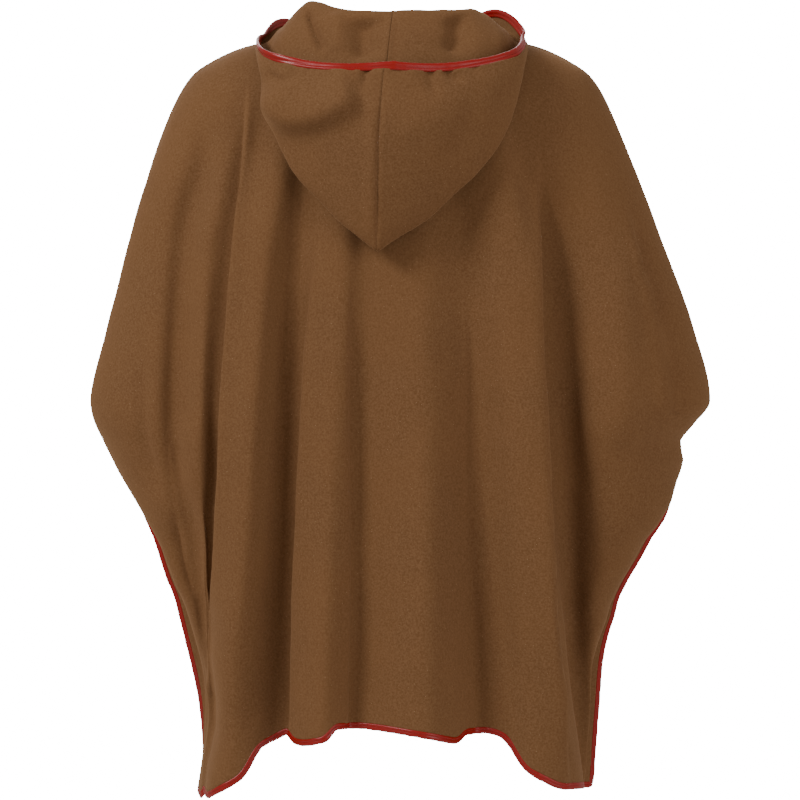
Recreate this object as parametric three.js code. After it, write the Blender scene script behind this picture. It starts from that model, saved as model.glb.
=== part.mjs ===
// A hooded fleece poncho, as it hangs when worn with the elbows held a little out.
// Millimetres, +Z up. The wearer faces -Y, and +X is the wearer's left.
// The origin is the middle of the neck hole, level with the tops of the shoulders beside the neck.
// Two cut panels meet on a seam that runs from the neck over each shoulder to the cuff.
// Below the cuffs the sides are open. A two-piece hood is sewn round the neck and lies back.
// Every free edge is bound with tape.
import * as THREE from 'three';

// Driving sizes.
const FLEECE = 2.6; // the cloth's thickness
const SEAM_GAP = 0.3; // between two pieces that are sewn together
const TAPE_GAP = 0.7; // the same, square to an edge that bends as it goes
const SQUARENESS = 0.14; // how much fuller than an ellipse the worn sections are
const HEM_TAPE = { width: 6.5, thick: 3.8 };
const HOOD_TAPE = { width: 8, thick: 4.4 };
const MITRE_LIMIT = 0.6; // keeps the tape's corners from growing long
const CUFF_START = 0.4; // how far down the first ring step below the cuff the tape starts
const HEM_REACH = 3; // rings over which the hem's own dips fade upwards
const STEP = 1e-3; // for slopes taken by small differences

// How finely each piece is faceted.
const STEPS = { backFold: 4, frontFold: 4, ring: 2, hoodRound: 24, hoodRail: 3 };

// The garment's level rings, from the neck hole down to the hem.
// left, right: reach along +X and -X; side: its height there, and forward is where its middle lies.
// back, front: depth at the middle, with their heights. seam or edges: degrees round from the back.
const RINGS = [
  { at: 'neck hole', left: 92, right: 92, side: 6, back: 74, backZ: 4, front: 86, frontZ: -62 },
  { at: 'shoulder', left: 165, right: 165, side: 3, back: 104, backZ: -30, front: 112, frontZ: -98 },
  { at: 'shoulder tip', left: 222, right: 219, side: -19, back: 122, backZ: -70, front: 128, frontZ: -140 },
  { at: 'arm top', left: 254, right: 252, side: -48, back: 130, backZ: -112, front: 134, frontZ: -178 },
  { at: 'upper arm', left: 286, right: 285, side: -118, back: 135, backZ: -172, front: 138, frontZ: -232 },
  { at: 'chest', left: 320, right: 328, side: -226, back: 138, backZ: -260, front: 142, frontZ: -306 },
  { at: 'above elbow', left: 350, right: 369, side: -332, back: 140, backZ: -358, front: 146, frontZ: -390 },
  { at: 'elbow', left: 374, right: 394, side: -434, back: 142, backZ: -446, front: 150, frontZ: -466 },
  { at: 'wrist', left: 360, right: 362, side: -488, back: 144, backZ: -498, front: 151, frontZ: -506 },
  { at: 'below wrist', left: 332, right: 344, side: -548, back: 146, backZ: -552, front: 153, frontZ: -552 },
  { at: 'hip', left: 290, right: 312, side: -626, back: 149, backZ: -618, front: 155, frontZ: -612 },
  { at: 'thigh', left: 260, right: 268, side: -726, back: 153, backZ: -706, front: 157, frontZ: -690 },
  { at: 'above hem', left: 240, right: 256, side: -808, back: 155, backZ: -760, front: 159, frontZ: -744 },
  { at: 'hem', left: 238, right: 249, side: -892, back: 157, backZ: -810, front: 160, frontZ: -790 },
];
const LAST = RINGS.length - 1;
const CUFF = 8; // the ring where the seam ends and the side opens

// Where each panel ends at the sides, in degrees from its own middle:
// the seam down to the cuff, then the free edges.
const SEAM = [90, 90, 90, 91, 93, 97, 104, 113, 119];
const BACK_EDGE = { left: [119, 108, 96, 91, 93, 99], right: [119, 104, 93, 89, 88, 87] };
const FRONT_EDGE = [61, 55, 53, 57, 65, 76];

// The rings at which each fold's place and height are given.
const LEVELS = { yoke: 5, elbow: 7, hip: 10, thigh: 11, hem: 13 };

// The folds of each panel, from the wearer's left to right. from: the ring where a fold starts.
// At each level: its place, mm from the middle plane, and its height off the plain ring, mm outwards.
// drop: how far its hem hangs below the panel's middle.
const FOLD_COLUMNS = ['fold', 'from', 'yoke', 'elbow', 'hip', 'thigh', 'hem', 'drop'];
const BACK_FOLDS = table(FOLD_COLUMNS, [
  ['arm ridge', 3, [294, 3], [312, 8], [266, 6], [246, 2], [241, 0], 108],
  ['arm valley', 3, [260, -8], [262, -8], [246, -8], [238, -2], [235, 0], 108],
  ['arm fold', 3, [225, 2], [230, 4], [230, -2], [230, 2], [229, 3], 108],
  ['crease', 2, [188, -3], [202, -6], [213, -12], [219, -4], [221, 6], 104],
  ['corner fold', 2, [166, 12], [176, 16], [186, 19], [192, 26], [194, 28], 76],
  ['second valley', 3, [128, -10], [142, -20], [152, -28], [157, -33], [162, -30], 28],
  ['second fold', 3, [79, 8], [95, 14], [109, 20], [112, 24], [110, 24], 22],
  ['middle valley', 4, [44, 0], [48, -3], [50, -6], [52, -9], [56, -11], 2],
  ['middle fold', 4, [-24, 4], [-20, 9], [-16, 14], [-14, 18], [-14, 20], 4],
  ['right valley', 3, [-75, -6], [-80, -10], [-83, -16], [-88, -20], [-101, -22], 14],
  ['right fold', 2, [-152, 12], [-163, 18], [-174, 24], [-180, 28], [-188, 28], 74],
  ['right deep valley', 2, [-197, -10], [-207, -14], [-222, -14], [-230, -6], [-236, 2], 98],
  ['right arm fold', 3, [-277, 6], [-287, 10], [-262, 8], [-250, 4], [-246, 2], 98],
]);
const FRONT_FOLDS = table(FOLD_COLUMNS, [
  ['left side valley', 3, [265, -8], [262, -14], [192, -24], [194, -26], [206, -18], 58],
  ['left side fold', 3, [205, 8], [200, 17], [158, 25], [166, 30], [180, 33], 50],
  ['left valley', 4, [150, -10], [146, -18], [120, -27], [126, -32], [136, -33], 18],
  ['left fold', 4, [92, 8], [90, 15], [78, 23], [82, 28], [88, 32], 14],
  ['middle valley', 4, [28, -4], [30, -10], [28, -18], [27, -23], [25, -26], 0],
  ['middle fold', 4, [-46, 6], [-44, 13], [-38, 22], [-40, 27], [-43, 32], 16],
  ['right valley', 4, [-106, -8], [-104, -16], [-94, -25], [-98, -30], [-107, -33], 10],
  ['right side fold', 3, [-180, 9], [-176, 18], [-150, 26], [-154, 30], [-168, 33], 48],
  ['right side valley', 3, [-258, -8], [-256, -14], [-198, -24], [-196, -25], [-212, -16], 58],
]);
const SIDE_DROP = { left: 106, right: 96, front: 74 }; // how far the hem's corners hang below its middle

// The hood's rails above its neck seam: over the roll at the nape, down inside the pouch,
// round its lowest fold and up to the opening. wide: half a rail's width; middle: its widest place on Y;
// back, front: its reach from there; backZ, sideZ, frontZ: heights;
// pointed: share of the pouch's own outline.
const RAIL_COLUMNS = ['rail', 'wide', 'middle', 'back', 'front', 'backZ', 'sideZ', 'frontZ', 'pointed'];
const HOOD_RAILS = table(RAIL_COLUMNS, [
  ['roll', 120, 2, 98, 95, 41, 50, -54, 0],
  ['lining', 136, 28, 112, 122, -50, 36, -52, 0.45],
  ['fold', 148, 44, 120, 140, -246, 14, -50, 1],
  ['bulge', 155, 46, 148, 143, -120, 12, -48, 0.65],
  ['opening', 158, 40, 142, 138, -26, 15, -46, 0.5],
]);
// The pouch's outline, in degrees round from the middle of the back: share of its width, depth and drop.
const POUCH = table(['round', 'wide', 'deep', 'low'], [
  [0, 0, 1, 1],
  [15, 0.17, 0.985, 0.925],
  [30, 0.38, 0.95, 0.84],
  [45, 0.59, 0.91, 0.73],
  [60, 0.8, 0.84, 0.59],
  [75, 0.95, 0.65, 0.36],
  [83, 0.985, 0.35, 0.12],
  [90, 1, 0, 0],
]);
const NECK_SEAM = { inset: 1, raise: 2.6 }; // from the panels' neck edge to the hood's
// How far the hood stands up beside the throat.
const HOOD_FRONT_LIFT = { opening: 40, bulge: 28, fold: 18, lining: 8 };

const FABRIC = { color: 0x6e4a2b, roughness: 0.95, metalness: 0 };
const TAPE = { color: 0xb3211c, roughness: 0.45, metalness: 0 };

// The rows of a table, each value named by its column.
function table(columns, rows) {
  return rows.map((row) => Object.fromEntries(columns.map((name, i) => [name, row[i]])));
}

const rad = (degrees) => (degrees * Math.PI) / 180;
const clamp01 = (t) => Math.min(1, Math.max(0, t));
const smooth = (t) => clamp01(t) ** 2 * (3 - 2 * clamp01(t));

// A smooth curve through equally spaced values, at place t from 0 to their count less 1.
function through(values, t) {
  const last = values.length - 1;
  const i = Math.min(last - 1, Math.max(0, Math.floor(t)));
  const f = t - i;
  const [b, c] = [values[i], values[i + 1]];
  const a = i > 0 ? values[i - 1] : b;
  const d = i < last - 1 ? values[i + 2] : c;
  const [m, n] = [(c - a) / 2, (d - b) / 2];
  return b + f * (m + f * (3 * (c - b) - 2 * m - n + f * (2 * (b - c) + m + n)));
}

// The same for values at given, uneven places; it never overshoots.
function steady(places, values, t) {
  let i = 0;
  while (i < places.length - 2 && t > places[i + 1]) {
    i += 1;
  }
  const slope = (k) => (values[k + 1] - values[k]) / (places[k + 1] - places[k]);
  const tangent = (k) => {
    if (k === 0 || k === places.length - 1) {
      return slope(Math.min(k, places.length - 2));
    }
    const [p, n] = [slope(k - 1), slope(k)];
    return p * n <= 0 ? 0 : (2 * p * n) / (p + n);
  };
  const span = places[i + 1] - places[i];
  const f = clamp01((t - places[i]) / span);
  const [m, n] = [tangent(i) * span, tangent(i + 1) * span];
  const step = values[i + 1] - values[i];
  return values[i] + f * (m + f * (3 * step - 2 * m - n + f * (m + n - 2 * step)));
}

const column = (rows, name) => rows.map((row) => row[name]);
const RING_COLUMNS = Object.fromEntries(
  ['left', 'right', 'side', 'back', 'backZ', 'front', 'frontZ'].map((n) => [n, column(RINGS, n)]),
);

// A point of the plain garment: down is the ring, round is degrees from the middle of the back,
// and the point is moved out by that much and down by that much.
function onRing(down, round, out = 0, lower = 0) {
  const size = (name) => through(RING_COLUMNS[name], down);
  const [s, c] = [Math.sin(rad(round)), Math.cos(rad(round))];
  const behind = c >= 0;
  const wide = size(s >= 0 ? 'left' : 'right');
  const deep = size(behind ? 'back' : 'front');
  const full = 1 + SQUARENESS * s * s;
  const [middleZ, sideZ] = [size(behind ? 'backZ' : 'frontZ'), size('side')];
  const normal = new THREE.Vector2(s / wide, c / deep).normalize();
  return new THREE.Vector3(
    wide * s + normal.x * out,
    deep * c * full + normal.y * out,
    sideZ + (middleZ - sideZ) * c * c - lower,
  );
}

// Degrees round a ring whose half width is wide, at a place that far from the middle plane.
function degreesAt(place, wide) {
  const share = Math.abs(place) / wide;
  const turn = share < 1 ? Math.asin(share) : Math.PI / 2 + share - 1;
  return (Math.sign(place) * turn * 180) / Math.PI;
}

// A panel's folds at one ring: rows of angle, height and hem drop, from edge to edge.
function foldRow(folds, edges, drops, down) {
  const held = Math.max(down, LEVELS.yoke);
  const heightOf = (ring) => -through(RING_COLUMNS.backZ, ring);
  const places = Object.values(LEVELS).map(heightOf);
  const names = Object.keys(LEVELS);
  const rows = folds.map((fold) => {
    const at = (k) => steady(places, names.map((name) => fold[name][k]), heightOf(held));
    const place = at(0);
    const wide = through(RING_COLUMNS[place > 0 ? 'left' : 'right'], held);
    const fade = smooth((down - fold.from) / (LEVELS.yoke - fold.from));
    return [degreesAt(place, wide), fade * at(1), fold.drop];
  });
  const [left, right] = edges(down);
  return [[left, 0, drops[0]], ...rows, [-right, 0, drops[1]]];
}

// The surface of a panel: across runs over its folds from the left edge to the right, down over the rings.
function panel({ folds, edges, drops, middle }) {
  return (across, down) => {
    const row = foldRow(folds, edges, drops, down);
    const [angle, out, drop] = [0, 1, 2].map((k) => through(row.map((r) => r[k]), across));
    const round = middle === 'back' ? angle : 180 - angle;
    const c = Math.cos(rad(round));
    // The rings already hang lower at the sides; the hem's dips are what is left over.
    const ringDrop = (RINGS[LAST].side - RINGS[LAST][middle === 'back' ? 'backZ' : 'frontZ']) * (1 - c * c);
    const dip = (drop + ringDrop) * smooth((down - LAST + HEM_REACH) / HEM_REACH);
    return onRing(down, round, out, dip);
  };
}

// Half the seam gap, as degrees round a ring at its seam.
function halfGap(down, round) {
  const way = onRing(down, round + STEP).sub(onRing(down, round));
  return (SEAM_GAP / 2 / way.length()) * STEP;
}

// Where a panel ends at one ring: on the seam down to the cuff, and on its free edge below it.
function edgeAt(free, down) {
  if (down <= CUFF) {
    return steady([...SEAM.keys()], SEAM, down);
  }
  return steady([...free.keys()], free, down - CUFF);
}

function backEdges(down) {
  return [['left', 1], ['right', -1]].map(([side, sign]) => {
    const q = edgeAt(BACK_EDGE[side], down);
    return q - (down <= CUFF ? halfGap(down, sign * q) : 0);
  });
}

function frontEdges(down) {
  return [1, -1].map((sign) => {
    const q = down <= CUFF ? 180 - edgeAt([], down) : edgeAt(FRONT_EDGE, down);
    return q - (down <= CUFF ? halfGap(down, sign * (180 - q)) : 0);
  });
}

const backSurface = panel({
  folds: BACK_FOLDS,
  edges: backEdges,
  drops: [SIDE_DROP.left, SIDE_DROP.right],
  middle: 'back',
});
const frontSurface = panel({
  folds: FRONT_FOLDS,
  edges: frontEdges,
  drops: [SIDE_DROP.front, SIDE_DROP.front],
  middle: 'front',
});

// The way out of a surface at a point, from small steps that stay inside its range.
function wayOut(surface, a, b, most, sign) {
  const [da, db] = [a > most[0] - STEP ? -STEP : STEP, b > most[1] - STEP ? -STEP : STEP];
  const here = surface(a, b);
  const along = surface(a + da, b).sub(here).multiplyScalar(1 / da);
  const down = surface(a, b + db).sub(here).multiplyScalar(1 / db);
  return down.cross(along).normalize().multiplyScalar(sign);
}

// The way out of the plain garment, which both panels share at their seam.
function ringOut(down, round) {
  const step = down > LAST - STEP ? -STEP : STEP;
  const here = onRing(down, round);
  const along = onRing(down, round + STEP).sub(here);
  const lower = onRing(down + step, round).sub(here).multiplyScalar(1 / step);
  return along.cross(lower).normalize();
}

// A panel's way out: its own, and the plain garment's at its two edges.
function panelOut(surface, wide, edges, middle) {
  const sign = middle === 'back' ? 1 : -1;
  return (a, b) => {
    if ((a > 0 && a < wide) || b > CUFF) {
      return wayOut(surface, a, b, [wide, LAST], sign);
    }
    const angle = a === 0 ? edges(b)[0] : -edges(b)[1];
    return ringOut(b, middle === 'back' ? angle : 180 - angle);
  };
}

// A closed mesh from rows of points that run round the outside and the inside of a sheet.
function sheetSolid(surface, most, counts, sign, outAt) {
  const [na, nb] = counts;
  const grid = [];
  for (let i = 0; i <= na; i += 1) {
    for (let j = 0; j <= nb; j += 1) {
      const [a, b] = [(most[0] * i) / na, (most[1] * j) / nb];
      const half = outAt(a, b).multiplyScalar(FLEECE / 2);
      const middle = surface(a, b);
      grid.push([middle.clone().add(half), middle.clone().sub(half)]);
    }
  }
  const positions = grid.flatMap(([outer, inner]) => [...outer.toArray(), ...inner.toArray()]);
  const at = (i, j, side) => 2 * (i * (nb + 1) + j) + side;
  const faces = [];
  const quad = (p, q, r, s) => {
    faces.push(...(sign < 0 ? [p, q, r, p, r, s] : [p, r, q, p, s, r]));
  };
  for (let i = 0; i < na; i += 1) {
    for (let j = 0; j < nb; j += 1) {
      quad(at(i, j, 0), at(i + 1, j, 0), at(i + 1, j + 1, 0), at(i, j + 1, 0));
      quad(at(i, j, 1), at(i, j + 1, 1), at(i + 1, j + 1, 1), at(i + 1, j, 1));
    }
  }
  for (let i = 0; i < na; i += 1) {
    quad(at(i, 0, 1), at(i + 1, 0, 1), at(i + 1, 0, 0), at(i, 0, 0));
    quad(at(i, nb, 0), at(i + 1, nb, 0), at(i + 1, nb, 1), at(i, nb, 1));
  }
  for (let j = 0; j < nb; j += 1) {
    quad(at(0, j, 0), at(0, j + 1, 0), at(0, j + 1, 1), at(0, j, 1));
    quad(at(na, j, 1), at(na, j + 1, 1), at(na, j + 1, 0), at(na, j, 0));
  }
  return solid(positions, faces);
}

function solid(positions, faces) {
  const geometry = new THREE.BufferGeometry();
  geometry.setAttribute('position', new THREE.Float32BufferAttribute(positions, 3));
  geometry.setIndex(faces);
  geometry.computeVertexNormals();
  return geometry;
}

// Binding tape along a sheet's edge, from its outline: share of its width out, share of its thickness up.
const TAPE_SECTION = [
  [0, -0.32],
  [0, 0.32],
  [0.4, 0.5],
  [1, 0.25],
  [1, -0.25],
  [0.4, -0.5],
];
function tapeSolid(stations, tape, turn) {
  const positions = [];
  stations.forEach(({ point, out }, i) => {
    const before = i > 0 ? point.clone().sub(stations[i - 1].point).normalize() : null;
    const after = i < stations.length - 1 ? stations[i + 1].point.clone().sub(point).normalize() : before;
    const along = after.clone().add(before ?? after).normalize();
    const across = along.clone().cross(out).normalize().multiplyScalar(turn);
    across.divideScalar(Math.max(MITRE_LIMIT, along.dot(after)));
    for (const [w, h] of TAPE_SECTION) {
      const p = point.clone().addScaledVector(across, TAPE_GAP + w * tape.width);
      positions.push(...p.addScaledVector(out, h * tape.thick).toArray());
    }
  });
  const n = TAPE_SECTION.length;
  const faces = [];
  const face = (p, q, r) => (turn > 0 ? faces.push(p, q, r) : faces.push(p, r, q));
  for (let i = 0; i < stations.length - 1; i += 1) {
    for (let k = 0; k < n; k += 1) {
      const [p, q] = [i * n + k, i * n + ((k + 1) % n)];
      const mirrored = 2 * i >= stations.length - 1; // so that left and right match
      face(p, q, mirrored ? p + n : q + n);
      face(mirrored ? q : p, q + n, p + n);
    }
  }
  const far = (stations.length - 1) * n;
  for (let k = 1; k < n - 1; k += 1) {
    face(0, k + 1, k);
    face(far, far + k, far + k + 1);
  }
  return solid(positions, faces);
}

// The tape round a panel's free edges, from a little below the left cuff to the same place on the right.
function panelTape(surface, wide, foldSteps, outAt, turn) {
  const stations = freeEdge(wide, foldSteps).map(([a, b]) => ({
    point: surface(a, b),
    out: outAt(a, b),
  }));
  const last = stations.length - 1;
  for (const [end, next] of [[0, 1], [last, last - 1]]) {
    stations[end].point.lerp(stations[next].point, CUFF_START);
  }
  return tapeSolid(stations, HEM_TAPE, turn);
}

// The edge of a panel from the left cuff down, along the hem, and up to the right cuff.
function freeEdge(wide, foldSteps) {
  const places = [];
  const rows = (LAST - CUFF) * STEPS.ring;
  for (let j = 0; j < rows; j += 1) {
    places.push([0, CUFF + j / STEPS.ring]);
  }
  for (let i = 0; i <= wide * foldSteps; i += 1) {
    places.push([i / foldSteps, LAST]);
  }
  for (let j = 1; j <= rows; j += 1) {
    places.push([wide, LAST - j / STEPS.ring]);
  }
  return places;
}

// The hood: round runs from 0 at the middle of the back to 180 at the throat, and up over its rails.
function hoodRail(rail, round, side) {
  const [s, c] = [Math.sin(rad(round)), Math.cos(rad(round))];
  if (c < 0) {
    const lift = (HOOD_FRONT_LIFT[rail.rail] ?? 0) * Math.sin(2 * rad(round)) ** 2;
    const z = rail.sideZ + (rail.frontZ - rail.sideZ) * c * c + lift;
    return [side * rail.wide * s, rail.middle + rail.front * c, z];
  }
  const places = column(POUCH, 'round');
  const share = (plain, name) => plain + rail.pointed * (steady(places, column(POUCH, name), round) - plain);
  return [
    side * rail.wide * share(s, 'wide'),
    rail.middle + rail.back * share(c, 'deep'),
    rail.sideZ + (rail.backZ - rail.sideZ) * share(c * c, 'low'),
  ];
}

// The hood's first rail follows the neck hole that both panels leave.
function neckRail(round, side) {
  const p = onRing(0, side * round);
  const reach = Math.hypot(p.x, p.y);
  const share = (reach - NECK_SEAM.inset) / reach;
  return [p.x * share, p.y * share, p.z + NECK_SEAM.raise];
}

function hoodSurface(side) {
  return (round, up) => {
    const rails = [neckRail(round, side), ...HOOD_RAILS.map((rail) => hoodRail(rail, round, side))];
    return new THREE.Vector3(...[0, 1, 2].map((k) => through(rails.map((r) => r[k]), up)));
  };
}

// The whole hood, from the left throat (180) over the back (0) to the right throat (-180).
const RAILS_UP = HOOD_RAILS.length;
const HALVES = { left: hoodSurface(1), right: hoodSurface(-1) };
function hoodPoint(round, up) {
  return (round >= 0 ? HALVES.left : HALVES.right)(Math.abs(round), up);
}

// The way out of the hood; at its middle seam it lies in the middle plane.
function hoodOut(round, up) {
  const side = round >= 0 ? 1 : -1;
  const n = wayOut(side > 0 ? HALVES.left : HALVES.right, Math.abs(round), up, [180, RAILS_UP], side);
  return round % 180 === 0 ? n.setX(0).normalize() : n;
}

// One half of the hood, kept half a seam gap off the middle.
function hoodHalf(side) {
  const surface = (round, up) => {
    const p = hoodPoint(side * Math.max(round, STEP), up);
    return p.setX(side * Math.max(Math.abs(p.x), SEAM_GAP / 2));
  };
  const outAt = (round, up) => {
    const middle = round === 0 || round === 180;
    const n = hoodOut(side * Math.max(round, STEP), up);
    return middle ? n.setX(0).normalize() : n;
  };
  const counts = [STEPS.hoodRound, RAILS_UP * STEPS.hoodRail];
  return sheetSolid(surface, [180, RAILS_UP], counts, side, outAt);
}

function mesh(name, geometry, finish) {
  const made = new THREE.Mesh(geometry, new THREE.MeshStandardMaterial(finish));
  made.name = name;
  return made;
}

const poncho = new THREE.Group();
const backWide = BACK_FOLDS.length + 1;
const frontWide = FRONT_FOLDS.length + 1;
const ringSteps = LAST * STEPS.ring;

const backOut = panelOut(backSurface, backWide, backEdges, 'back');
const frontOut = panelOut(frontSurface, frontWide, frontEdges, 'front');
const backCounts = [backWide * STEPS.backFold, ringSteps];
const frontCounts = [frontWide * STEPS.frontFold, ringSteps];
const backCloth = sheetSolid(backSurface, [backWide, LAST], backCounts, 1, backOut);
const frontCloth = sheetSolid(frontSurface, [frontWide, LAST], frontCounts, -1, frontOut);
const backTape = panelTape(backSurface, backWide, STEPS.backFold, backOut, 1);
const frontTape = panelTape(frontSurface, frontWide, STEPS.frontFold, frontOut, -1);
poncho.add(mesh('back_panel', backCloth, FABRIC));
poncho.add(mesh('front_panel', frontCloth, FABRIC));
poncho.add(mesh('back_binding', backTape, TAPE));
poncho.add(mesh('front_binding', frontTape, TAPE));

poncho.add(mesh('hood_left', hoodHalf(1), FABRIC));
poncho.add(mesh('hood_right', hoodHalf(-1), FABRIC));

const rim = [];
for (let i = 1; i < 2 * STEPS.hoodRound; i += 1) {
  const round = 180 * (1 - i / STEPS.hoodRound);
  rim.push({ point: hoodPoint(round, RAILS_UP), out: hoodOut(round, RAILS_UP) });
}
poncho.add(mesh('hood_binding', tapeSolid(rim, HOOD_TAPE, -1), TAPE));

export default poncho;
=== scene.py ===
import bpy
import numpy as np
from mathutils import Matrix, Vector


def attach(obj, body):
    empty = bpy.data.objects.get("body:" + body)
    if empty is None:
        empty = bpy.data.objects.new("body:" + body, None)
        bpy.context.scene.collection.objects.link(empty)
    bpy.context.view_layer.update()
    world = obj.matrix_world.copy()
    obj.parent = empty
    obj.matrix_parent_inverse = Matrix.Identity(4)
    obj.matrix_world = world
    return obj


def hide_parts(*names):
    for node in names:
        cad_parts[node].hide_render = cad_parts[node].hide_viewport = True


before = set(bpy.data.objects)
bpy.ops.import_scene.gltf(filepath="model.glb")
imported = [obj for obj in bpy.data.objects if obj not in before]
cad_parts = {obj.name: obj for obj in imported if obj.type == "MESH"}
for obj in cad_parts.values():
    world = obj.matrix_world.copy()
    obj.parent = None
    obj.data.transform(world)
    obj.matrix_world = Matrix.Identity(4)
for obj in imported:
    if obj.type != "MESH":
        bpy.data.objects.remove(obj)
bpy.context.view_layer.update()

# ---- Back panel ----
# One piece of brushed polyester fleece, sewn to the front panel over the shoulders down to the cuffs.
# It hangs from the shoulders in long soft folds and its corners hang lowest.
MM = 0.001
FLEECE_THICK = 2.6
SQUARENESS = 0.14  # how much fuller than an ellipse a ring is
CUFF = 8  # the ring where the seam ends and the side opens
LAST = 13  # the hem's ring
RING_STEPS = 12
DOWNS = np.linspace(0, LAST, LAST * RING_STEPS + 1)  # each row of a panel's points, counted in rings
HEM_REACH = 3  # rings over which the hem's own dips fade upwards
SEAM_GAP = 0.3  # between the two panels along the seam
HEM_TAPE = (6.5, 3.8)  # width beyond the edge, thickness

# Level rings: left, right, side height, back depth and height, front depth and height.
RINGS = np.array([
    [92, 92, 6, 74, 4, 86, -62],  # neck hole
    [165, 165, 3, 104, -30, 112, -98],  # shoulder
    [222, 219, -19, 122, -70, 128, -140],  # shoulder tip
    [254, 252, -48, 130, -112, 134, -178],  # sleeve top
    [286, 285, -118, 135, -172, 138, -232],  # upper sleeve
    [320, 328, -226, 138, -260, 142, -306],  # chest
    [350, 369, -332, 140, -358, 146, -390],  # above elbow
    [374, 394, -434, 142, -446, 150, -466],  # elbow
    [360, 362, -488, 144, -498, 151, -506],  # cuff
    [332, 344, -548, 146, -552, 153, -552],  # below the cuff
    [290, 312, -626, 149, -618, 155, -612],  # hip
    [260, 268, -726, 153, -706, 157, -690],  # thigh
    [240, 256, -808, 155, -760, 159, -744],  # above hem
    [238, 249, -892, 157, -810, 160, -790],  # hem
], float)
LEFT, RIGHT, SIDE_Z, BACK, BACK_Z, FRONT, FRONT_Z = range(7)
SEAM = [90, 90, 90, 91, 93, 97, 104, 113, 119]  # degrees round from the middle of the back, at each ring
LEVELS = [5, 7, 10, 11, 13]  # rings at which each fold's place and height are given

# Folds, left to right: first ring, hem drop, then place and height at the chest, elbow, hip, thigh and hem.
BACK_FOLDS = [
    [3, 108, (294, 3), (312, 8), (266, 6), (246, 2), (241, 0)],
    [3, 108, (260, -8), (262, -8), (246, -8), (238, -2), (235, 0)],
    [3, 108, (225, 2), (230, 4), (230, -2), (230, 2), (229, 3)],
    [2, 104, (196, -3), (212, -5), (219, -8), (220, -3), (221, 5)],
    [2, 76, (150, 11), (164, 16), (173, 19), (180, 25), (187, 27)],
    [3, 28, (115, -10), (126, -18), (133, -23), (137, -26), (141, -26)],
    [3, 22, (62, 8), (73, 14), (78, 18), (80, 21), (82, 21)],
    [4, 2, (28, -1), (33, -5), (36, -9), (38, -12), (42, -13)],
    [4, 4, (-34, 5), (-36, 10), (-37, 14), (-38, 18), (-38, 19)],
    [3, 14, (-88, -8), (-100, -13), (-106, -19), (-110, -23), (-114, -23)],
    [2, 74, (-152, 12), (-163, 18), (-174, 24), (-180, 28), (-188, 28)],
    [2, 98, (-199, -10), (-213, -18), (-226, -22), (-234, -17), (-240, -6)],
    [3, 98, (-277, 6), (-287, 10), (-262, 8), (-250, 4), (-246, 2)],
]
# Left and right free edge: degrees round at each ring from the cuff to the hem, and the drop at the hem.
BACK_EDGES = ([119, 99, 92, 90, 93, 99], [119, 97, 90, 89, 88, 87])
BACK_SIDE_DROPS = (106, 96)


def smooth(t):
    """0 below 0, 1 above 1, and an even rise between."""
    t = np.clip(t, 0, 1)
    return t * t * (3 - 2 * t)


def through(values, places):
    """A smooth curve through equally spaced values, at places counted from the first of them."""
    v, t = np.asarray(values, float), np.asarray(places, float)
    i = np.clip(np.floor(t).astype(int), 0, len(v) - 2)
    f = (t - i).reshape(t.shape + (1,) * (v.ndim - 1))
    b, c = v[i], v[i + 1]
    a, d = v[np.maximum(i - 1, 0)], v[np.minimum(i + 2, len(v) - 1)]
    m, n = (c - a) / 2, (d - b) / 2
    return b + f * (m + f * (3 * (c - b) - 2 * m - n + f * (2 * (b - c) + m + n)))


def steady(places, values, t):
    """A curve through values at uneven places, which never overshoots them. t is one number."""
    i = 0
    while i < len(places) - 2 and t > places[i + 1]:
        i += 1

    def slope(k):
        return (values[k + 1] - values[k]) / (places[k + 1] - places[k])

    def tangent(k):
        if k in (0, len(places) - 1):
            return slope(min(k, len(places) - 2))
        p, n = slope(k - 1), slope(k)
        return 0 if p * n <= 0 else 2 * p * n / (p + n)

    span = places[i + 1] - places[i]
    f = min(1, max(0, (t - places[i]) / span))
    m, n, step = tangent(i) * span, tangent(i + 1) * span, values[i + 1] - values[i]
    return values[i] + f * (m + f * (3 * step - 2 * m - n + f * (m + n - 2 * step)))


def on_ring(down, around, out=0.0, lower=0.0):
    """Points of the plain garment at degrees around from the middle of the back."""
    size = np.moveaxis(through(RINGS, np.asarray(down, float)), -1, 0)
    s, c = np.sin(np.radians(around)), np.cos(np.radians(around))
    wide = np.where(s >= 0, size[LEFT], size[RIGHT])
    deep = np.where(c >= 0, size[BACK], size[FRONT])
    middle = np.where(c >= 0, size[BACK_Z], size[FRONT_Z])
    across, along = s / wide, c / deep
    unit = np.hypot(across, along)
    x = wide * s + across / unit * out
    y = deep * c * (1 + SQUARENESS * s * s) + along / unit * out
    return np.stack([x, y, size[SIDE_Z] + (middle - size[SIDE_Z]) * c * c - lower], -1)


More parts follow.
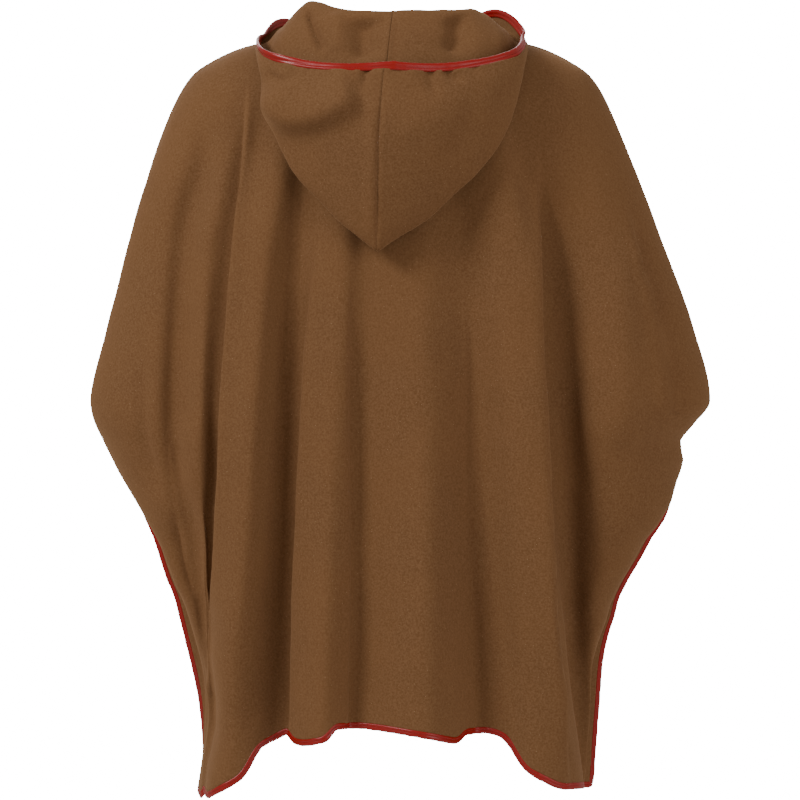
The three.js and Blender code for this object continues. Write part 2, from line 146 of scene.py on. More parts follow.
def panel_grid(folds, free_edges, side_drops, front, fold_steps):
    """The panel's points, from its left edge to its right and from the neck down to the hem."""
    heights = [-RINGS[level, BACK_Z] for level in LEVELS]
    acrosses = np.linspace(0, len(folds) + 1, (len(folds) + 1) * fold_steps + 1)
    grid = []
    for down in DOWNS:
        held = max(down, LEVELS[0])
        held_height = -float(through(RINGS[:, BACK_Z], held))
        rows = []
        for first, drop, *levels in folds:
            place = steady(heights, [level[0] for level in levels], held_height)
            height = steady(heights, [level[1] for level in levels], held_height)
            share = abs(place) / float(through(RINGS[:, LEFT if place > 0 else RIGHT], held))
            turn = np.arcsin(share) if share < 1 else np.pi / 2 + share - 1
            fade = smooth((down - first) / (LEVELS[0] - first))
            rows.append((np.sign(place) * np.degrees(turn), height * fade, drop))
        ends = []
        for side, sign in ((0, 1), (1, -1)):
            if down <= CUFF:
                seam = steady(range(CUFF + 1), SEAM, down)
                below, above = on_ring(down, sign * (seam - 0.5)), on_ring(down, sign * (seam + 0.5))
                span = np.linalg.norm(above - below)  # of one degree
                ends.append((180 - seam if front else seam) - SEAM_GAP / 2 / span)
            else:
                edge = free_edges[side]
                ends.append(steady(range(len(edge)), edge, down - CUFF))
        rows = [(ends[0], 0, side_drops[0]), *rows, (-ends[1], 0, side_drops[1])]
        angle, out, drop = np.moveaxis(through(rows, acrosses), -1, 0)
        c = np.cos(np.radians(angle))
        hem = RINGS[LAST]
        ring_drop = (hem[SIDE_Z] - hem[FRONT_Z if front else BACK_Z]) * (1 - c * c)
        dip = (drop + ring_drop) * smooth((down - LAST + HEM_REACH) / HEM_REACH)
        grid.append(on_ring(np.full(len(angle), down), 180 - angle if front else angle, out, dip))
    return np.array(grid).transpose(1, 0, 2)


def normals(grid, sign):
    """The way out at each point of a grid of points."""
    along, down = np.gradient(grid, axis=0), np.gradient(grid, axis=1)
    n = np.cross(down, along) * sign
    return n / np.maximum(np.linalg.norm(n, axis=-1, keepdims=True), 1e-9)


PATH_STEPS = 8  # straight stretches between two points of a crease's path
RIDGE_BLEND = 7  # millimetres over which a crease passes from its +X side to its -X side


def crease(x, z, path, heights, widths, ends):
    """A soft ridge (+) or trough (-) along a path of (x, z) that runs down.

    heights, widths: on its +X and -X side.
    ends: the share of its length that fades at its top and at its foot.
    """
    line = through(np.array(path, float), np.linspace(0, len(path) - 1, PATH_STEPS * (len(path) - 1) + 1))
    steps = np.diff(line, axis=0)
    runs = np.hypot(steps[:, 0], steps[:, 1])
    past = np.concatenate([[0], np.cumsum(runs)])
    best, place, side = np.full(x.shape, 1e9), np.zeros(x.shape), np.zeros(x.shape)
    for (ax, az), (dx, dz), run, start in zip(line[:-1], steps, runs, past[:-1]):
        share = np.clip(((x - ax) * dx + (z - az) * dz) / (run * run), 0, 1)
        far = np.hypot(x - ax - share * dx, z - az - share * dz)
        nearer = far < best
        best = np.where(nearer, far, best)
        place = np.where(nearer, (start + share * run) / past[-1], place)
        side = np.where(nearer, dx * (z - az) - dz * (x - ax), side)
    on_left = smooth(0.5 + np.sign(side) * best / RIDGE_BLEND)
    profile = on_left * heights[0] * np.exp(-((best / widths[0]) ** 2))
    profile = profile + (1 - on_left) * heights[1] * np.exp(-((best / widths[1]) ** 2))
    fade = np.ones(x.shape)
    if ends[0]:
        fade = fade * smooth(place / ends[0])
    if ends[1]:
        fade = fade * smooth((1 - place) / ends[1])
    return profile * fade


RUMPLE_CELLS = 48  # the random points repeat after so many
RUMPLE_START = (24, 44)  # the point that lies at the garment's origin


def rumple(x, z, spacing, seed):
    """Low random swells, about -1 to 1, between points spacing = (across, down) apart."""
    n = RUMPLE_CELLS
    values = np.random.default_rng(seed).uniform(-1, 1, (n, n))
    u, v = x / spacing[0] + RUMPLE_START[0], z / spacing[1] + RUMPLE_START[1]
    i, j = np.floor(u).astype(int), np.floor(v).astype(int)
    f, g = smooth(u - i), smooth(v - j)
    a, b = values[i % n, j % n], values[(i + 1) % n, j % n]
    c, d = values[i % n, (j + 1) % n], values[(i + 1) % n, (j + 1) % n]
    return a * (1 - f) * (1 - g) + b * f * (1 - g) + c * (1 - f) * g + d * f * g


def swells(x, z, sizes, seed):
    """Rumples of several sizes together. sizes: (height, spacing) of each."""
    return sum(height * rumple(x, z, spacing, seed + k) for k, (height, spacing) in enumerate(sizes))


def mesh_piece(name, points, faces, material):
    """A smooth-shaded piece from points in millimetres."""
    mesh = bpy.data.meshes.new(name)
    mesh.from_pydata((np.asarray(points) * MM).tolist(), [], faces)
    mesh.materials.append(material)
    mesh.shade_smooth()
    piece = bpy.data.objects.new(name, mesh)
    bpy.context.scene.collection.objects.link(piece)
    return piece


def shell(name, grid, way, material, turned):
    """A thin sheet, closed at its cut edges, from its middle surface and the way out of it.

    turned: its columns run the other way round, so each face is reversed.
    """
    na, nb = grid.shape[:2]
    points = np.stack([grid + way * FLEECE_THICK / 2, grid - way * FLEECE_THICK / 2], 2).reshape(-1, 3)

    def at(i, j, side):
        return 2 * (i * nb + j) + side

    faces = []
    for i in range(na - 1):
        for j in range(nb - 1):
            faces.append((at(i, j, 0), at(i, j + 1, 0), at(i + 1, j + 1, 0), at(i + 1, j, 0)))
            faces.append((at(i, j, 1), at(i + 1, j, 1), at(i + 1, j + 1, 1), at(i, j + 1, 1)))
    for i in range(na - 1):
        faces.append((at(i, 0, 1), at(i, 0, 0), at(i + 1, 0, 0), at(i + 1, 0, 1)))
        faces.append((at(i, nb - 1, 0), at(i, nb - 1, 1), at(i + 1, nb - 1, 1), at(i + 1, nb - 1, 0)))
    for j in range(nb - 1):
        faces.append((at(0, j, 0), at(0, j, 1), at(0, j + 1, 1), at(0, j + 1, 0)))
        faces.append((at(na - 1, j, 1), at(na - 1, j, 0), at(na - 1, j + 1, 0), at(na - 1, j + 1, 1)))
    if turned:
        faces = [face[::-1] for face in faces]
    return mesh_piece(name, points, faces, material)


def linear(hex_colour):
    """An sRGB hex colour as linear RGBA."""
    parts = [int(hex_colour[i:i + 2], 16) / 255 for i in (1, 3, 5)]
    return [p / 12.92 if p <= 0.04045 else ((p + 0.055) / 1.055) ** 2.4 for p in parts] + [1.0]


def add_node(tree, kind, settings=(), links=()):
    """Adds a shader node. settings: (input or attribute, value); links: (input, output socket)."""
    node = tree.nodes.new(kind)
    for key, value in settings:
        if isinstance(key, str) and hasattr(node, key):
            setattr(node, key, value)
        else:
            node.inputs[key].default_value = value
    for key, socket in links:
        tree.links.new(socket, node.inputs[key])
    return node


def new_material(name, settings):
    """A material with its own Principled shader, and that shader's tree."""
    material = bpy.data.materials.new(name)
    material.use_nodes = True
    shader = material.node_tree.nodes["Principled BSDF"]
    for key, value in settings:
        shader.inputs[key].default_value = value
    return material, material.node_tree, shader


# Brushed fleece: matt brown pile in soft clumps of 2 to 4 mm, with a pale bloom where it turns
# from the eye, and painted glints: a few pale dots in the colour that stand in for fibre ends catching the
# lamp. A scale counts cells to the metre: clumps of
# 2.4 mm, pile of 0.8 mm (coarser than real, so that it shows), worn patches of 110 mm, painted glints 7 mm
# apart.
fleece, tree, shader = new_material("brushed polyester fleece", [
    ("Roughness", 0.9),
    ("Specular IOR Level", 0.25),
    ("Sheen Weight", 0.3),
    ("Sheen Roughness", 0.5),
    ("Sheen Tint", linear("#C29A70")),
])
place = add_node(tree, "ShaderNodeTexCoord").outputs["Object"]
clumps = add_node(tree, "ShaderNodeTexNoise", [("Scale", 420.0), ("Detail", 2.0)], [("Vector", place)])
pile = add_node(tree, "ShaderNodeTexNoise", [("Scale", 1300.0), ("Detail", 2.0)], [("Vector", place)])
patches = add_node(tree, "ShaderNodeTexNoise", [("Scale", 9.0), ("Detail", 2.0)], [("Vector", place)])
tone = add_node(tree, "ShaderNodeValToRGB", [], [("Fac", clumps.outputs["Fac"])])
tone.color_ramp.elements[0].position = 0.3
tone.color_ramp.elements[0].color = linear("#634326")
tone.color_ramp.elements[1].position = 0.7
tone.color_ramp.elements[1].color = linear("#735336")
worn = add_node(tree, "ShaderNodeMapRange", [
    ("From Min", 0.35), ("From Max", 0.65), ("To Min", 0.0), ("To Max", 0.25),
], [("Value", patches.outputs["Fac"])])
mixed = add_node(tree, "ShaderNodeMix", [("data_type", "RGBA")], [("Factor", worn.outputs["Result"])])
tree.links.new(tone.outputs["Color"], mixed.inputs["A"])
mixed.inputs["B"].default_value = linear("#75512F")
# painted glints: pale dots mixed into the base colour all over, where fibre ends would catch the lamp
painted_glint_cells = add_node(tree, "ShaderNodeTexVoronoi", [("Scale", 150.0)], [("Vector", place)])
painted_glint_mask = add_node(tree, "ShaderNodeMapRange", [
    ("From Min", 0.07), ("From Max", 0.03), ("To Min", 0.0), ("To Max", 0.65),
], [("Value", painted_glint_cells.outputs["Distance"])])
with_painted_glints = add_node(tree, "ShaderNodeMix", [("data_type", "RGBA")], [("Factor", painted_glint_mask.outputs["Result"])])
tree.links.new(mixed.outputs["Result"], with_painted_glints.inputs["A"])
with_painted_glints.inputs["B"].default_value = linear("#B59877")
tree.links.new(with_painted_glints.outputs["Result"], shader.inputs["Base Color"])
coarse = add_node(tree, "ShaderNodeBump", [("Strength", 0.22), ("Distance", 0.0008)], [
    ("Height", clumps.outputs["Fac"]),
])
fine = add_node(tree, "ShaderNodeBump", [("Strength", 0.3), ("Distance", 0.0004)], [
    ("Height", pile.outputs["Fac"]), ("Normal", coarse.outputs["Normal"]),
])
tree.links.new(fine.outputs["Normal"], shader.inputs["Normal"])

# Creases of the back: path (x, z), heights and widths on the +X and -X side, the faded share at both ends.
BACK_CREASES = [
    # the sleeve's own soft folds, and the full cloth by its lower edge
    ([(234, -70), (229, -138), (250, -220), (264, -380), (268, -480), (260, -600), (252, -664)],
     (-7, -7), (13, 20), (0.15, 0.25)),
    ([(303, -350), (301, -471), (277, -560)], (-7, -7), (12, 10), (0.35, 0.3)),
    ([(246, -430), (242, -500), (246, -580)], (7, 7), (20, 16), (0.35, 0.4)),
    ([(268, -560), (258, -620), (240, -680)], (-8, -8), (10, 10), (0.4, 0.3)),
    # the long left fold, whose edge hides what is behind it
    ([(172, -40), (179, -150), (186, -209), (198, -339), (207, -507), (213, -615), (226, -780)],
     (-7, 8), (26, 12), (0.12, 0)),
    # valley and fold right of it, with a sharper edge towards the hem
    ([(112, -120), (118, -244), (126, -363), (131, -459), (134, -579), (136, -725), (138, -860)],
     (-6, -4), (22, 14), (0.25, 0)),
    ([(84, -200), (100, -339), (108, -483), (114, -615), (117, -725), (120, -860)],
     (-4, 9), (16, 16), (0.3, 0)),
    # middle
    ([(50, -260), (52, -447), (51, -615), (54, -850)], (3, -4), (14, 16), (0.3, 0)),
    ([(-38, -400), (-40, -603), (-40, -850)], (3, 3), (22, 24), (0.4, 0)),
    ([(-86, -210), (-92, -363), (-94, -591), (-97, -725), (-102, -860)], (-3, -6), (14, 16), (0.3, 0)),
    # right
    ([(-120, -170), (-140, -447), (-153, -664), (-166, -786), (-180, -930)], (5, 5), (14, 24), (0.3, 0)),
    ([(-176, -120), (-178, -339), (-186, -507), (-191, -597), (-197, -701), (-208, -792), (-216, -930)],
     (8, -13), (12, 38), (0.15, 0.2)),
    ([(-271, -200), (-277, -400), (-266, -540)], (6, 6), (26, 24), (0.4, 0.4)),
    # the elbow's edge, beyond which the sleeve lies further in
    ([(-282, -180), (-300, -255), (-316, -306), (-331, -358), (-339, -420), (-342, -475)],
     (7, -8), (9, 14), (0.3, 0.15)),
]
# The hem's own line from left to right, with its tape: (x, z).
HEM_LINE = [
    (231, -894), (224, -902), (193, -885), (179, -876), (171, -851), (161, -839), (141, -829), (124, -819),
    (120, -835), (104, -838), (81, -834), (69, -818), (40, -816), (15, -819), (-79, -836), (-86, -824),
    (-115, -821), (-136, -827), (-148, -839), (-156, -866), (-202, -891), (-241, -889),
]
HEM_DEPTH = 160  # Y of the cloth that hangs right on that line
HEM_LEAN = 0.2  # cloth that lies further in hangs lower by this share of how much further
HEM_ENDS = (-268, 231)  # the line holds from x to x
HEM_FADES = (8, 6)  # millimetres over which it does so at the right and at the left end
HEM_FROM = 10.5  # the ring at which the hem's line starts to show
# How much further out the sides lie than the plain rings: (height, millimetres).
LEFT_TRIM = [
    (-920, 4), (-882, 2), (-832, -6), (-790, -5.5), (-740, -1.5), (-706, -3.7), (-681, -3.7), (-656, 0),
    (-632, 0), (-607, -2.5), (-582, -4), (-557, -6.5), (-532, -9), (-507, -10), (-482, -9), (-457, -7.5),
    (-433, -5), (-359, -5), (-309, -3.7), (-200, 0),
]
RIGHT_TRIM = [
    (-920, 1), (-882, 1), (-724, -1.2), (-706, -1.2), (-681, -6), (-656, -5), (-632, -1.2), (-607, 1.2),
    (-582, 9), (-557, 9.5), (-532, 2.5), (-507, 0), (-482, -14), (-457, -14), (-438, -5), (-359, -5),
    (-309, -3.7), (-200, 0),
]
TRIM_SHARES = (0.7, 0.22)  # of the half width: where the trim starts, and over how much it comes in
PANEL_SWELLS = ((1.3, (46, 110)), (0.6, (19, 37)))
SEAM_PUFF = (1.6, 7, 4.5)  # height, distance from the seam and half width
SEAM_FADE, EDGE_FADE = 30, 12  # width of cloth over which the creases fade beside the seam and a free edge
FLARE_RINGS = (8.3, 0.9, 1.3)  # where the free edges start to turn, and over how many rings they come and go
FLARE_FEET = (12.8, 20)  # where that ends on the left; on the right it runs on past the hem
FLARE_LIP = (17, 20)  # how far the edge itself turns out, and the width of cloth that turns
FLARE_TUCK = (20, 80)  # how far the cloth beside it draws in, and the width that does
CORNER = (80, 128)  # columns, and the first row, of the left corner where the edge turns under
CORNER_PASSES = 60
back_grid = panel_grid(BACK_FOLDS, BACK_EDGES, BACK_SIDE_DROPS, False, 20)


def softened(line, times):
    """Evens out a line of points or values, whose ends stay."""
    line = line.copy()
    for _ in range(times):
        line[1:-1] = (line[:-2] + 2 * line[1:-1] + line[2:]) / 4
    return line


def trimmed(grid, foot):
    """Brings the garment's sides to their own widths, down to the ring foot."""
    x = grid[..., 0]
    for sign, trims, column in ((1, LEFT_TRIM, LEFT), (-1, RIGHT_TRIM, RIGHT)):
        wide = through(RINGS[:, column], DOWNS)[None, :]
        side = smooth((x * sign / wide - TRIM_SHARES[0]) / TRIM_SHARES[1]) * smooth(foot - DOWNS)[None, :]
        grid[..., 0] += sign * side * np.interp(grid[..., 2], *zip(*trims))
    return grid


def hung(grid):
    """Brings the back's hem to its own line, which hangs lower where the cloth lies further in."""
    x, y, z = np.moveaxis(grid[:, -1], -1, 0)
    further_in = np.clip(HEM_DEPTH - y, -40, 200)
    wanted = softened(np.interp(x, *zip(*sorted(HEM_LINE))) + HEM_TAPE[0] - HEM_LEAN * further_in, 4)
    inside = smooth((x - HEM_ENDS[0]) / HEM_FADES[0]) * smooth((HEM_ENDS[1] - x) / HEM_FADES[1] + 1)
    rise = smooth((DOWNS - HEM_FROM) / (LAST - HEM_FROM))
    grid[..., 2] += ((wanted - z) * inside)[:, None] * rise[None, :]
    return grid


def from_left(grid):
    """How far each point lies from the panel's left edge, along the cloth."""
    spans = np.linalg.norm(np.diff(grid, axis=0), axis=-1)
    return np.concatenate([np.zeros((1, grid.shape[1])), np.cumsum(spans, axis=0)])


def creased(grid, sign, creases, seed):
    """Moves a panel's points out by its creases, its rumples and the puff beside its seam."""
    way = normals(grid, sign)
    x, z = grid[..., 0], grid[..., 2]
    out = swells(x, z, PANEL_SWELLS, seed)
    for path, heights, widths, ends in creases:
        out = out + crease(x, z, path, heights, widths, ends)
    out = out * smooth((sign * way[..., 1] + 0.15) / 0.4)  # not where the cloth turns to the other side
    gone = from_left(grid)
    from_edge = np.minimum(gone, gone[-1:] - gone)
    high, at, half_width = SEAM_PUFF
    sewn = out * smooth(from_edge / SEAM_FADE) + high * np.exp(-(((from_edge - at) / half_width) ** 2))
    free = out * smooth(from_edge / EDGE_FADE)
    out = np.where((DOWNS <= CUFF)[None, :], sewn, free)
    return grid + way * out[..., None]


def flared(grid, way):
    """Turns the free side edges out a little, as a bound edge hangs."""
    gone = from_left(grid)
    middle = grid.shape[0] // 2
    halves = ((gone, slice(0, middle), FLARE_FEET[0]), (gone[-1:] - gone, slice(middle, None), FLARE_FEET[1]))
    start, comes, goes = FLARE_RINGS
    out = np.zeros(grid.shape[:2])
    for from_edge, half, foot in halves:
        free = smooth((DOWNS - start) / comes) * smooth((foot - DOWNS) / goes)
        lip = FLARE_LIP[0] * np.clip(1 - from_edge / FLARE_LIP[1], 0, 1) ** 2
        tuck = FLARE_TUCK[0] * smooth(1 - from_edge / FLARE_TUCK[1])
        out[half] = ((lip - tuck) * free[None, :])[half]
    return grid + way * out[..., None]


def eased(grid):
    """Evens out the left corner from row to row, so that the cloth turns under without a pinch."""
    columns, top = CORNER
    corner = grid[:columns, top:-1]
    even = softened(corner.swapaxes(0, 1), CORNER_PASSES).swapaxes(0, 1)
    share = smooth(2 - 2 * np.arange(columns) / columns)[:, None, None]
    corner += share * (even - corner)
    return grid


back_points = creased(trimmed(back_grid, LAST + 1), 1, BACK_CREASES, 11)
back_points = hung(eased(flared(back_points, normals(back_points, 1))))
back_way = normals(back_points, 1)
back_cloth = shell("back_panel_cloth", back_points, back_way, fleece, False)
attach(back_cloth, "root")
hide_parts("back_panel")

# ---- Front panel ----
# The same fleece, cut a little narrower, sewn to the back along both shoulders and upper sides.
# Its folds are plainer and its hem corners hang less low.
FRONT_FOLDS = [
    [3, 58, (265, -8), (262, -14), (192, -24), (194, -26), (206, -18)],
    [3, 50, (205, 8), (200, 17), (158, 25), (166, 30), (180, 33)],
    [4, 18, (150, -10), (146, -18), (120, -27), (126, -32), (136, -33)],
    [4, 14, (92, 8), (90, 15), (78, 23), (82, 28), (88, 32)],
    [4, 0, (28, -4), (30, -10), (28, -18), (27, -23), (25, -26)],
    [4, 16, (-46, 6), (-44, 13), (-38, 22), (-40, 27), (-43, 32)],
    [4, 10, (-106, -8), (-104, -16), (-94, -25), (-98, -30), (-107, -33)],
    [3, 48, (-180, 9), (-176, 18), (-150, 26), (-154, 30), (-168, 33)],
    [3, 58, (-258, -8), (-256, -14), (-198, -24), (-196, -25), (-212, -16)],
]
FRONT_EDGES = ([61, 55, 53, 57, 65, 76],) * 2
FRONT_SIDE_DROPS = (74, 74)
FRONT_CREASES = [
    ([(120, -100), (150, -200), (158, -330), (150, -430)], (-6, -6), (9, 12), (0.3, 0.4)),
    ([(230, -170), (262, -300), (288, -430)], (-6, -6), (8, 12), (0.3, 0.3)),
    ([(205, -240), (206, -380), (184, -520), (160, -640)], (5, 5), (12, 18), (0.4, 0.3)),
    ([(142, -360), (128, -540), (124, -700), (138, -860)], (-7, -7), (9, 12), (0.4, 0)),
    ([(84, -300), (82, -480), (84, -660), (90, -860)], (6, 6), (18, 9), (0.4, 0)),
    ([(34, -200), (26, -420), (28, -640), (24, -840)], (-6, -6), (12, 9), (0.4, 0)),
    ([(-40, -240), (-44, -440), (-38, -640), (-44, -850)], (5, 5), (16, 20), (0.4, 0)),
    ([(-70, -130), (-96, -300), (-102, -500), (-96, -680), (-108, -860)], (-7, -7), (10, 13), (0.3, 0)),
    ([(-130, -140), (-176, -290), (-178, -440), (-156, -600), (-160, -870)], (6, 6), (10, 16), (0.3, 0)),
    ([(-226, -180), (-262, -320), (-300, -450)], (-6, -6), (12, 8), (0.3, 0.3)),
    ([(-214, -420), (-204, -560), (-200, -700), (-214, -860)], (-6, -6), (8, 10), (0.4, 0)),
]
front_grid = panel_grid(FRONT_FOLDS, FRONT_EDGES, FRONT_SIDE_DROPS, True, 18)
front_points = creased(trimmed(front_grid, CUFF + 1), -1, FRONT_CREASES, 23)
front_way = normals(front_points, -1)
front_cloth = shell("front_panel_cloth", front_points, front_way, fleece, True)
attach(front_cloth, "root")
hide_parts("front_panel")

# ---- Hood ----
# Two mirrored halves of the same fleece with one middle seam, sewn round the neck hole.
# Down, it rolls over at the nape and hangs as a pointed pouch with its opening up.
# The pouch: degrees round from the middle of the back, then shares of a rail's width, reach and drop.
POUCH = np.array([
    [0, 0, 1, 1],
    [15, 0.17, 0.985, 0.925],
    [30, 0.38, 0.95, 0.84],
    [45, 0.59, 0.91, 0.73],
    [60, 0.8, 0.84, 0.59],
    [75, 0.95, 0.65, 0.36],
    [83, 0.985, 0.35, 0.12],
    [90, 1, 0, 0],
], float)
# The right half's pouch runs straighter to its tip.
RIGHT_WIDTHS = [0, 0.16, 0.35, 0.52, 0.73, 0.94, 0.985, 1]
# The collar's top: degrees round, millimetres above its plain line on the left and on the right half.
COLLAR_TOP = np.array([
    [0, 0, 0],
    [20, 3, 4],
    [36, 11, 7],
    [46, 19, 10],
    [56, 23, 14],
    [64, 19, 13],
    [74, 12, 9],
    [84, 4, 3],
    [90, 0, 0],
], float)
# Rails from the collar's top over the pouch to the opening: half width, its middle on Y, reach back and
# front, heights at back, side and front, share of POUCH, front lift.
HOOD_RAILS = [
    (120, 2, 98, 95, 36, 27, -54, 0, 0),
    (136, 28, 112, 122, -50, 22, -52, 0.45, 8),
    (150, 44, 120, 140, -246, 5, -50, 1, 18),
    (164, 46, 148, 143, -124, 1, -48, 0.7, 30),
    (163, 40, 142, 138, -33, 8, -46, 0.8, 42),
]
LIFT_SHARE = {1: 1.2, -1: 1.5}  # the right front end of the opening stands higher
# The opening's edge hangs below its plain line: degrees round, millimetres.
RIM_SAG = np.array([[0, 0], [15, 5], [30, 9], [45, 11.5], [60, 11], [75, 9], [85, 5], [90, 2]], float)
HOOD_STEPS = (96, 18)  # round each half, and from rail to rail


def hood_half(side):
    """Points of one half of the hood, from the middle of the back to the throat and from neck to opening."""
    rounds = np.linspace(0, 180, HOOD_STEPS[0] + 1)
    ups = np.linspace(0, len(HOOD_RAILS), len(HOOD_RAILS) * HOOD_STEPS[1] + 1)
    grid = []
    for around in rounds:
        s, c = np.sin(np.radians(around)), np.cos(np.radians(around))
        neck = on_ring(0.0, side * around)
        reach = np.hypot(neck[0], neck[1])
        rails = [[neck[0] * (reach - 1) / reach, neck[1] * (reach - 1) / reach, neck[2] + FLEECE_THICK]]
        widths = POUCH[:, 1] if side > 0 else RIGHT_WIDTHS
        own = [steady(POUCH[:, 0], column, min(around, 90)) for column in (widths, POUCH[:, 2], POUCH[:, 3])]
        top = steady(COLLAR_TOP[:, 0], COLLAR_TOP[:, 1 if side > 0 else 2], min(around, 90))
        sag = steady(RIM_SAG[:, 0], RIM_SAG[:, 1], min(around, 90))
        for rail in HOOD_RAILS:
            wide, middle, back, front, back_z, side_z, front_z, pointed, lift = rail
            at_rim = rail is HOOD_RAILS[-1]
            if c < 0:
                rise = lift * LIFT_SHARE[side] * np.sin(2 * np.radians(around)) ** 2
                if at_rim:
                    rise -= RIM_SAG[-1, 1]
                height = side_z + (front_z - side_z) * c * c + rise
                rails.append([side * wide * s, middle + front * c, height])
                continue
            a, b, low = [plain + pointed * (k - plain) for plain, k in zip((s, c, c * c), own)]
            rise = 0
            if rail is HOOD_RAILS[0]:
                rise = top
            elif at_rim:
                rise = -sag
            rails.append([side * wide * a, middle + back * b, side_z + (back_z - side_z) * low + rise])
        grid.append(through(rails, ups))
    grid = np.array(grid)
    grid[0, :, 0] = 0
    grid[-1, :, 0] = 0
    return grid, rounds, ups


# Creases of the pouch's outside and of the collar's inside, as on the panels.
POUCH_CREASES = [
    # the full upper left, which sags to a soft edge
    ([(150, -42), (130, -84), (104, -91), (66, -83), (24, -64)], (17, 17), (14, 34), (0.25, 0.15)),
    # puckers below the opening's edge
    ([(150, -30), (136, -44), (122, -47), (106, -34)], (-5, -5), (6, 6), (0.3, 0.3)),
    ([(22, -32), (24, -48), (20, -62)], (-5, -5), (5, 6), (0, 0.5)),
    ([(-50, -32), (-54, -50), (-60, -74)], (-5, -5), (6, 7), (0, 0.6)),
    ([(-66, -32), (-74, -42), (-88, -48)], (-5, -5), (4, 5), (0, 0.5)),
    ([(-100, -40), (-92, -100), (-62, -160)], (-3, -3), (14, 18), (0.3, 0.4)),
    # the seam's allowance
    ([(8, -60), (8, -150), (6, -235)], (3, 3), (7, 10), (0.2, 0.1)),
]
COLLAR_CREASES = [
    ([(104, 44), (98, 26), (88, 4), (80, -14)], (-9, -9), (3.5, 6), (0.15, 0.2)),
    ([(70, 40), (64, 10), (62, -14)], (4, 4), (9, 9), (0.2, 0.2)),
    ([(36, 34), (34, 8), (30, -22)], (-15, -15), (14, 22), (0.2, 0.2)),
    ([(-72, 36), (-78, 10), (-70, -14)], (-10, -10), (10, 16), (0.2, 0.2)),
]
# From the neck up, counted in rails: where the pouch's outside and the collar start or end, over how much.
OUTSIDE_FROM, OUTSIDE_OVER = 2.9, 0.4
COLLAR_FROM, COLLAR_TO, COLLAR_OVER = 0.6, 2.2, 0.5
NECK_FADE = 0.5
FRONT_FROM, FRONT_OVER = 100, 20  # degrees round, past which the hood has no creases of its own
HOOD_SWELLS = ((1.1, (38, 44)), (0.5, (15, 21)))
RIM_PUCKER, PUCKER_DOWN = 1.0, 0.28  # height in millimetres, reach below the rim in rails
PUCKER_SPACING = (7, 30)
RIM_DEGREE = 1.7  # millimetres of the rim to a degree, roughly
SEAM_FLAT = 3.0  # half width of the strip beside the middle seam that has no swells
SEAM_GROOVE = (1.0, 2.2)  # depth and half width
SEAM_SLANT = [0, -1, 8, 17, 16, 9]  # how far the middle seam lies to the left, at the neck and at each rail
SLANT_WIDTH = 70


def creased_hood(side, seed):
    """One half with its creases, puckers along the rim and a groove beside the middle seam."""
    grid, rounds, ups = hood_half(side)
    way = normals(grid, side)
    x, z = grid[..., 0], grid[..., 2]
    outer = smooth((ups - OUTSIDE_FROM) / OUTSIDE_OVER)[None, :]
    collar = smooth((COLLAR_TO - ups) / COLLAR_OVER) * smooth((ups - COLLAR_FROM) / COLLAR_OVER)
    collar = collar[None, :]
    out = swells(x, z, HOOD_SWELLS, seed)
    for path, heights, widths, ends in POUCH_CREASES:
        out = out + outer * crease(x, z, path, heights, widths, ends)
    for path, heights, widths, ends in COLLAR_CREASES:
        out = out - collar * crease(x, z, path, heights, widths, ends)
    behind = smooth((FRONT_FROM - rounds) / FRONT_OVER)[:, None]
    out = out * behind
    below = (ups[-1] - ups)[None, :]
    pucker = rumple(rounds[:, None] * RIM_DEGREE + side * 300 + 0 * x, 0 * z, PUCKER_SPACING, seed + 2)
    out = out + RIM_PUCKER * pucker * np.exp(-((below / PUCKER_DOWN) ** 2)) * smooth(below / 0.05)
    depth, half_width = SEAM_GROOVE
    out = out * (1 - np.exp(-((x / SEAM_FLAT) ** 2)))
    out = out - depth * np.exp(-((x / half_width) ** 2)) * smooth(below / 0.2)
    ends = smooth(ups / NECK_FADE)[None, :]
    grid = grid + way * (out * ends)[..., None]
    grid[..., 0] += through(SEAM_SLANT, ups)[None, :] * np.exp(-((x / SLANT_WIDTH) ** 2)) * behind
    return grid


hood_grids = {1: creased_hood(1, 41), -1: creased_hood(-1, 51)}
for side, name in ((1, "left"), (-1, "right")):
    points = hood_grids[side]
    way = normals(points, side)
    piece = shell("hood_" + name + "_cloth", points, way, fleece, side < 0)
    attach(piece, "root")
    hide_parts("hood_" + name)

# ---- Binding tape ----
# Satin tape, about 16 mm wide, is folded over every free edge and sewn through with one row of stitches.
# It puckers a little where the stitches draw it in.
HOOD_TAPE = (8.0, 4.4)
SEWN = (0.3, 0.34)  # where the groove of the stitches lies: share of the width out, share of the thickness up
# The tape's outer face, as the same two shares; the inner face mirrors it.
TAPE_FACE = [
    (-0.22, 0.38), (0.0, 0.5), (0.16, 0.48), SEWN, (0.44, 0.48), (0.72, 0.48), (0.93, 0.32), (1.04, 0.12),
]
TAPE_SECTION = TAPE_FACE + [(w, -h) for w, h in reversed(TAPE_FACE)]
EDGE_ROOM = 0.5  # between the cloth's edge and where the tape's width counts from
TAPE_PUCKERS = ((1, (5.5, 9)), (0.5, (2.7, 9)))  # (height, spacing) along the tape
PUCKER_WIDER, PUCKER_THICKER, PUCKER_LIFT = 0.05, 0.10, 0.12  # at a full pucker: two shares and millimetres
LAP_LENGTH = 4
RIM_PASSES = (16, 60)  # how often the hood's edge, and the way out of it, are evened out for the tape
TAPE_START = CUFF + 0.3  # the ring below the cuff at which the side's tape starts
